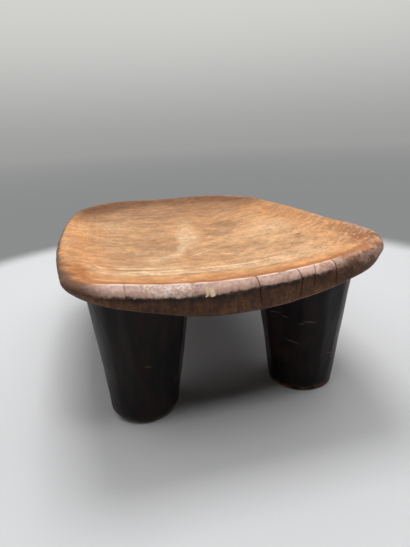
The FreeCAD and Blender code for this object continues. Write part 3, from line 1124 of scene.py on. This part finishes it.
        calm = across.step(-0.05, 0.04, 1.15, 0.4)
        inner = self.run.step(18 * MM, 42 * MM) * calm
        paint.lay(colours.pale_tan, self.streaks * inner * 0.27)
        paint.lay(colours.brown_tan_and_shade, self.fibres * inner * 0.28)
        paint.lay(colours.pale_tan, self.hairs * calm * 0.18)
        paint.lay(colours.back_brown_and_shade, self.fine_hairs * calm * 0.16)
        paint.lay(colours.pale_tan, self.side_streaks * 0.16)
        by_ridge = (self.run + self.soft * (8 * MM)).step(15 * MM, 8 * MM) * front
        paint.lay(colours.ridge_orange, by_ridge * 0.92)
        # Pale scrape lines along the front rim: tool marks, partly painted highlights on their ridges
        paint.lay(colours.pale_tan, self.scrapes_and_glints * 0.90)
        worn_right = across.step(0.0, 0.05, 0.0, 0.20) * (self.soft * 4.0 + 1.0)
        worn_right = worn_right * along.step(0.05, -0.03) * self.run.step(12 * MM, 36 * MM)
        paint.lay(colours.pale_tan, worn_right)

        specks = self.cloud(230.0, 2.0, 0.6).step(0.58, 0.67)
        speck_share = self.zone((0.03, 0.10), (-0.02, -0.10)) * 0.34 + 0.16
        speck_share = speck_share + self.run.step(12 * MM, 3 * MM) * front * 0.35
        paint.lay(colours.back_brown_and_shade, specks * speck_share)
        # Back wall darkened: patina and painted shade
        shaded_back_wall = self.ragged_run.step(44 * MM, 10 * MM) * along.step(*BACK_WALL_SHADE)
        paint.lay(colours.back_brown_and_shade, shaded_back_wall * 0.88)
        paint.lay(colours.pale_tan, self.scratch * 0.80)
        corner = self.zone((0.080, 0.120), (-0.030, -0.090))
        handled = corner * along.step(-0.085, -0.135) * self.ragged_run.step(20 * MM, 4 * MM)
        paint.lay(colours.bevel_dark, handled * 0.28)
        flecks = self.cloud(310.0, 2.0, 0.6).step(0.52, 0.64)
        paint.lay(colours.pale_tan, flecks * corner * 0.62)
        paint.lay(colours.back_brown_and_shade, sheet.ellipse(self.place, *KNOT).step(1.0, 0.3) * 0.75)
        for dash in PALE_DASHES:
            away = sheet.ellipse(self.place, *dash, DASH_WIDTH)
            paint.lay(colours.pale_tan, away.step(1.0, 0.4) * 0.8)
        return paint.toned(self.speckle * 0.9 + self.mottle * 0.8 + self.soft * 0.55)

    def bevel_colour(self):
        """Polished bevel with painted sheen, stains and pale scuffs with painted glints at the front,
        mottled brown with painted shade round the sides.
        """
        colours = self.colours
        across = self.across
        # The front bevel starts from a colour that carries painted sheen
        front = Paint(self.sheet, colours.bevel_brown_and_sheen)
        front.lay(colours.bevel_dark, self.patches(46.0, 0.44, 0.72) * 0.8)
        warm_share = across.step(-0.030, 0.030, 0.08, 0.50)
        front.lay(colours.ridge_orange, self.patches(95.0, 0.47, 0.60) * warm_share)
        # Pale scuffs on the front bevel, gathered in its middle as painted glints of the lamp
        self.scuffs = self.cloud(420.0, 3.0, 0.7).step(0.45, 0.57)
        scuff_glint_share = abs(across - SCUFF_GLINT_MIDDLE).step(24 * MM, 6 * MM) * 0.82 + 0.18
        front.lay(colours.ridge_pale_and_highlight, self.scuffs * scuff_glint_share)
        front.lay(colours.bevel_dark, self.scalloped_run.step(-4.5 * MM, -9.0 * MM) * 0.45)
        # Rounded rim sides: painted shade on the left, and on the right a mix with the bevel colour that
        # carries painted sheen
        outer_shade_and_sheen = self.sheet.mix(across.step(*RIGHT_HALF, 0.0, 0.60), colours.shaded_side_brown, colours.bevel_brown_and_sheen)
        paint = Paint(self.sheet, colours.rim_orange)
        paint.lay(outer_shade_and_sheen, self.ragged_run.step(7 * MM, -3 * MM))
        paint.lay(colours.back_brown_and_shade, self.patches(150.0, 0.46, 0.56) * 0.75)
        rubbed = self.cloud(460.0, 2.0, 0.6).step(0.54, 0.66)
        paint.lay(colours.pale_tan, rubbed * across.step(*RIGHT_HALF, 0.05, 0.32))
        paint.lay(front.colour, self.crisp)
        return paint.toned(self.speckle * 0.9)

    def edge_colour(self):
        """Upright end grain below the bevel."""
        sheet = self.sheet
        colours = self.colours
        self.upright, fibres = grain(sheet, sheet.stretch(self.place, (120, 120, 20)))
        splits = sheet.cloud(sheet.stretch(self.place, (240, 240, 14)), 1.0, 1.0)
        self.split_lines = splits.step(0.66, 0.74)
        paint = Paint(sheet, colours.edge_brown)
        for share in (self.upright * 0.60, fibres * 0.45, self.patches(58.0, 0.42, 0.62) * 0.65):
            paint.lay(colours.edge_dark, share)
        paint.lay(colours.bevel_dark, self.across.step(0.070, 0.110, 0.0, 0.30))
        paint.lay(colours.grime, self.split_lines * 0.7)
        return paint.toned(self.speckle * 2.2)

    def zoned_colour(self):
        """Colours laid over the rim from the dish to the underside."""
        sheet = self.sheet
        colours = self.colours
        paint = Paint(sheet, self.dish_colour())
        paint.lay(self.bevel_colour(), self.on_bevel)
        paint.lay(self.edge_colour(), self.on_edge)
        grime_foot = self.across.step(0.0, -0.05) * (-1.8 * MM) - 12.8 * MM
        low_side = (self.run + (self.mottle + self.soft) * (7 * MM)).step(grime_foot, -9.6 * MM)
        grime = self.scalloped_run.step(-8.2 * MM, -10.4 * MM) * low_side
        grime = grime * self.across.step(0.010, 0.070, 1.0, 0.55)
        paint.lay(colours.grime, grime * (self.crisp * 0.70 + 0.25))
        # Thin pale line on the front ridge: rubbed wood with a painted highlight
        ridge = abs(self.run).step(1.5 * MM, 0.3 * MM) * self.cloud(120.0).step(0.34, 0.54)
        paint.lay(colours.ridge_pale_and_highlight, ridge * self.crisp * 0.85)
        under_patch = patches(sheet, sheet.stretch(self.place, (3, 1, 3)), 20.0, 0.40, 0.70)
        paint.lay(sheet.mix(under_patch, colours.under_brown, colours.edge_dark), self.on_under)
        # Painted highlight: a thin lighter line along the seat's lower edge
        lower_edge_highlight = abs(self.run - LOWER_HIGHLIGHT_LINE).step(0.6 * MM, 0.2 * MM)
        paint.lay(colours.bevel_dark, lower_edge_highlight * self.across.step(0.0, 0.05) * 0.6)
        paint.lay(colours.fresh_wood, self.fresh)
        paint.lay(colours.grime, self.crack * self.run.step(-16 * MM, -10 * MM, 0.40, 0.92))
        return paint.colour

    def gloss(self):
        """Roughness: matt dish, polished front bevel, dry underside."""
        polished = (self.on_bevel - self.on_edge) * self.crisp
        value = self.streaks * 0.10 + 0.64 + polished * -0.36 + self.soft * 0.20
        return value + self.on_under * 0.15 + self.fresh * 0.20

    def relief(self):
        """Bumps of the streaks, scratches, scuffs and end grain."""
        height = self.streaks * 0.35 + self.fibres * 0.3 + self.hairs * 0.25
        height = height + self.scrapes_and_glints * 0.4 + self.mottle * 0.8 - self.scratch * 0.4
        height = height * self.run.step(0.0, 3 * MM)
        height = height + (self.scuffs * -0.4 + self.soft) * self.on_bevel
        return height - self.split_lines * self.on_edge * 0.6 + self.upright * self.on_edge * 0.5


# Scratches on the front legs: place across and up, turn in degrees, and length
LEG_SCRATCHES = (
    ((0.040, 0.082), 10, 0.010),
    ((0.047, 0.0795), -15, 0.006),
    ((0.057, 0.0760), 25, 0.006),
    ((0.062, 0.078), -8, 0.013),
    ((0.053, 0.0555), -12, 0.014),
    ((0.088, 0.039), -25, 0.012),
    ((0.091, 0.036), 40, 0.007),
    ((-0.046, 0.0415), 35, 0.018),
    ((-0.073, 0.062), -8, 0.008),
)
LEG_SCRATCH_WIDTH = 0.0012


def make_leg_wood(colours):
    """Blackened, polished wood with brown showing through, a few thin scratches and worn feet."""
    material, sheet, shader = new_surface("black_leg_wood", LEG_SHINE)
    place = sheet.place()
    across, along, up = sheet.split(place)
    soft = sheet.cloud(place, 60.0, 3.0) - 0.5
    streaks, fibres = grain(sheet, sheet.stretch(place, (120, 120, 9)))
    worn = patches(sheet, sheet.stretch(place, (1, 1, 0.6)), 24.0, 0.46, 0.72)
    paint = Paint(sheet, colours.leg_black)
    paint.lay(colours.leg_brown, worn * (up.step(60 * MM, 5 * MM) * 0.70 + 0.30))
    paint.lay(colours.leg_brown, streaks * 0.22)
    few = sheet.cloud(place, 17.0).step(0.54, 0.70)
    scratch = scratches(sheet, sheet.join(across + along, up, across - along), few)
    paint.lay(colours.scratch_grey, scratch * 0.05)
    upright = sheet.join(across, up)
    on_front = along.step(-0.11, -0.13)
    for mark in LEG_SCRATCHES:
        away = sheet.ellipse(upright, *mark, LEG_SCRATCH_WIDTH) + soft
        paint.lay(colours.scratch_grey, away.step(1.1, 0.2) * on_front * 0.45)
    foot = (up + soft * (9 * MM)).step(6.5 * MM, 1.5 * MM)
    foot_breaks = sheet.cloud(sheet.stretch(place, (1, 1, 2)), 140.0).step(0.36, 0.60)
    paint.lay(colours.foot_brown, foot * foot_breaks * 0.85)
    gloss = soft * 0.25 + 0.35 + worn * 0.08 + foot * 0.20
    relief = streaks * 0.35 + fibres * 0.2 - scratch * 0.5 + sheet.cloud(place, 160.0) * 0.35
    finish_wood(sheet, shader, paint.colour, gloss, relief)
    return material


# Stage

AIR_LOW = (0.345, 0.345, 0.340)
AIR_HIGH = (0.64, 0.64, 0.62)
AIR_LIGHT = 0.03
FLOOR_HALF = 6.0
CAMERA_PLACE = Vector((-88.8 * MM, -452.8 * MM, 234.9 * MM))
CAMERA_DIP = math.radians(19.64)
CAMERA_TURN = math.radians(13.10)
CAMERA_ROLL = math.radians(-3.21)

# Height of the photograph and focal length in its pixels, and the sensor in millimetres
PHOTO_HEIGHT = 547
PHOTO_FOCAL = 411
SENSOR_WIDTH = 36

# Soft lights: name, place, the point that each faces, width, depth and power
SOFTBOXES = (
    ("overhead_softbox", (0.00, 0.46, 1.75), (0, 0, 0.1), 0.70, 0.60, 12.0),
    ("ceiling_softbox", (-0.05, 0.35, 1.60), (0, 0, 0.1), 3.00, 2.20, 22.0),
    ("front_softbox", (0.13, -0.58, 1.20), (0, -0.19, 0.13), 0.24, 0.25, 2.5),
    ("left_softbox", (-1.0, 0.0, 0.5), (0, 0, 0.08), 1.0, 1.0, 1.2),
    ("right_softbox", (1.0, 0.0, 0.5), (0, 0, 0.08), 1.0, 1.0, 1.0),
)


def make_floor_surface(colours):
    """Pale matt floor that passes into an even grey far from the stool."""
    material, sheet, shader = new_surface("pale_floor", FLOOR_SHINE)
    shader.inputs["Base Color"].default_value = (*colours.floor_pale, 1)
    shader.inputs["Roughness"].default_value = FLOOR_ROUGHNESS
    place = sheet.place()
    away = sheet.distance(sheet.stretch(place, (1.05, 1, 1)))
    far = (away + (sheet.cloud(place, 9.0, 3.0) - 0.5) * 0.02).step(0.47, 0.56)
    distant = sheet.mix(away.step(0.8, 5.0), colours.floor_far, AIR_LOW)
    glow = sheet.out("ShaderNodeEmission", {"Color": distant, "Strength": 1.0})
    both = sheet.out("ShaderNodeMixShader", {0: sheet.seen() * far, 1: shader.outputs[0], 2: glow})
    sheet.node("ShaderNodeOutputMaterial", {"Surface": both})
    return material


def place_camera():
    """Camera at the photograph's viewpoint."""
    forward = Vector((
        math.sin(CAMERA_TURN) * math.cos(CAMERA_DIP),
        math.cos(CAMERA_TURN) * math.cos(CAMERA_DIP),
        -math.sin(CAMERA_DIP),
    ))
    level = Vector((math.cos(CAMERA_TURN), -math.sin(CAMERA_TURN), 0))
    upright = level.cross(forward)
    right = level * math.cos(CAMERA_ROLL) + upright * math.sin(CAMERA_ROLL)
    up = upright * math.cos(CAMERA_ROLL) - level * math.sin(CAMERA_ROLL)
    data = bpy.data.cameras.new("photo_camera")
    data.sensor_width = SENSOR_WIDTH
    data.lens = SENSOR_WIDTH * PHOTO_FOCAL / PHOTO_HEIGHT
    data.clip_start = 0.01
    camera = add_object("photo_camera", data)
    turned = Matrix((right, up, -forward)).transposed().to_4x4()
    camera.matrix_world = Matrix.Translation(CAMERA_PLACE) @ turned
    bpy.context.scene.camera = camera


def add_softbox(name, place, aim, width, depth, power):
    """Rectangular soft light that faces a point."""
    data = bpy.data.lights.new(name, "AREA")
    data.shape = "RECTANGLE"
    data.size = width
    data.size_y = depth
    data.energy = power
    lamp = add_object(name, data)
    lamp.location = place
    way = Vector(aim) - Vector(place)
    lamp.rotation_euler = way.to_track_quat("-Z", "Y").to_euler()


def set_world():
    """Grey gradient behind the stool, and a little even light."""
    world = bpy.data.worlds.new("studio_air")
    world.use_nodes = True
    bpy.context.scene.world = world
    sheet = NodeSheet(world.node_tree)
    _across, _along, rise = sheet.split(sheet.out("ShaderNodeTexCoord", output="Generated"))
    colour = sheet.mix(rise.step(-0.06, 0.26), AIR_LOW, AIR_HIGH)
    seen_air = sheet.out("ShaderNodeBackground", {"Color": colour, "Strength": 1.0})
    light_air = sheet.out("ShaderNodeBackground", {"Color": (1, 1, 1), "Strength": AIR_LIGHT})
    both = sheet.out("ShaderNodeMixShader", {0: sheet.seen(), 1: light_air, 2: seen_air})
    sheet.node("ShaderNodeOutputWorld", {"Surface": both})


def lay_floor(colours):
    """Plain floor that the stool stands on."""
    bm = bmesh.new()
    bmesh.ops.create_grid(bm, x_segments=8, y_segments=8, size=FLOOR_HALF)
    return add_mesh("studio_floor", bm, make_floor_surface(colours))


# Operators and panel

def attach(piece, node):
    """Puts a carved piece in the place of its CAD node."""
    if len(piece.data.polygons) == 0:
        raise RuntimeError("A piece has no faces: " + node)
    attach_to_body(piece, "root")
    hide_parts(node)


class STOOL_OT_make_seat(Operator):
    """Make the carved seat"""

    bl_idname = "stool.make_seat"
    bl_label = "Make Seat"

    def execute(self, context):
        scene = context.scene
        seat = build_seat(scene.stool_sizes, SeatWood(scene.stool_colours).material)
        attach(seat, "seat")
        return {"FINISHED"}


class STOOL_OT_make_legs(Operator):
    """Make the four carved legs"""

    bl_idname = "stool.make_legs"
    bl_label = "Make Legs"

    def execute(self, context):
        scene = context.scene
        wood = make_leg_wood(scene.stool_colours)
        for node in LEGS:
            attach(build_leg(scene.stool_sizes, node, wood), node)
        return {"FINISHED"}


class STOOL_OT_make_stage(Operator):
    """Make the floor, the soft lights, the air and the camera"""

    bl_idname = "stool.make_stage"
    bl_label = "Make Stage"

    def execute(self, context):
        lay_floor(context.scene.stool_colours)
        for softbox in SOFTBOXES:
            add_softbox(*softbox)
        set_world()
        place_camera()
        context.scene.view_settings.view_transform = "Standard"
        return {"FINISHED"}


class STOOL_PT_build(Panel):
    """Buttons and settings of the stool"""

    bl_idname = "STOOL_PT_build"
    bl_label = "Carved Stool"
    bl_space_type = "VIEW_3D"
    bl_region_type = "UI"
    bl_category = "Stool"

    def draw(self, context):
        layout = self.layout
        for operator in (STOOL_OT_make_seat, STOOL_OT_make_legs, STOOL_OT_make_stage):
            layout.operator(operator.bl_idname)
        for settings in (context.scene.stool_sizes, context.scene.stool_colours):
            box = layout.box()
            for name in settings.__annotations__:
                box.prop(settings, name)


CLASSES = (
    StoolSizes,
    StoolColours,
    STOOL_OT_make_seat,
    STOOL_OT_make_legs,
    STOOL_OT_make_stage,
    STOOL_PT_build,
)


def register():
    for item in CLASSES:
        bpy.utils.register_class(item)
    bpy.types.Scene.stool_sizes = PointerProperty(type=StoolSizes)
    bpy.types.Scene.stool_colours = PointerProperty(type=StoolColours)


def unregister():
    del bpy.types.Scene.stool_colours
    del bpy.types.Scene.stool_sizes
    for item in reversed(CLASSES):
        bpy.utils.unregister_class(item)


def main():
    register()
    bpy.ops.stool.make_seat()
    bpy.ops.stool.make_legs()
    bpy.ops.stool.make_stage()


if __name__ == "__main__":
    main()
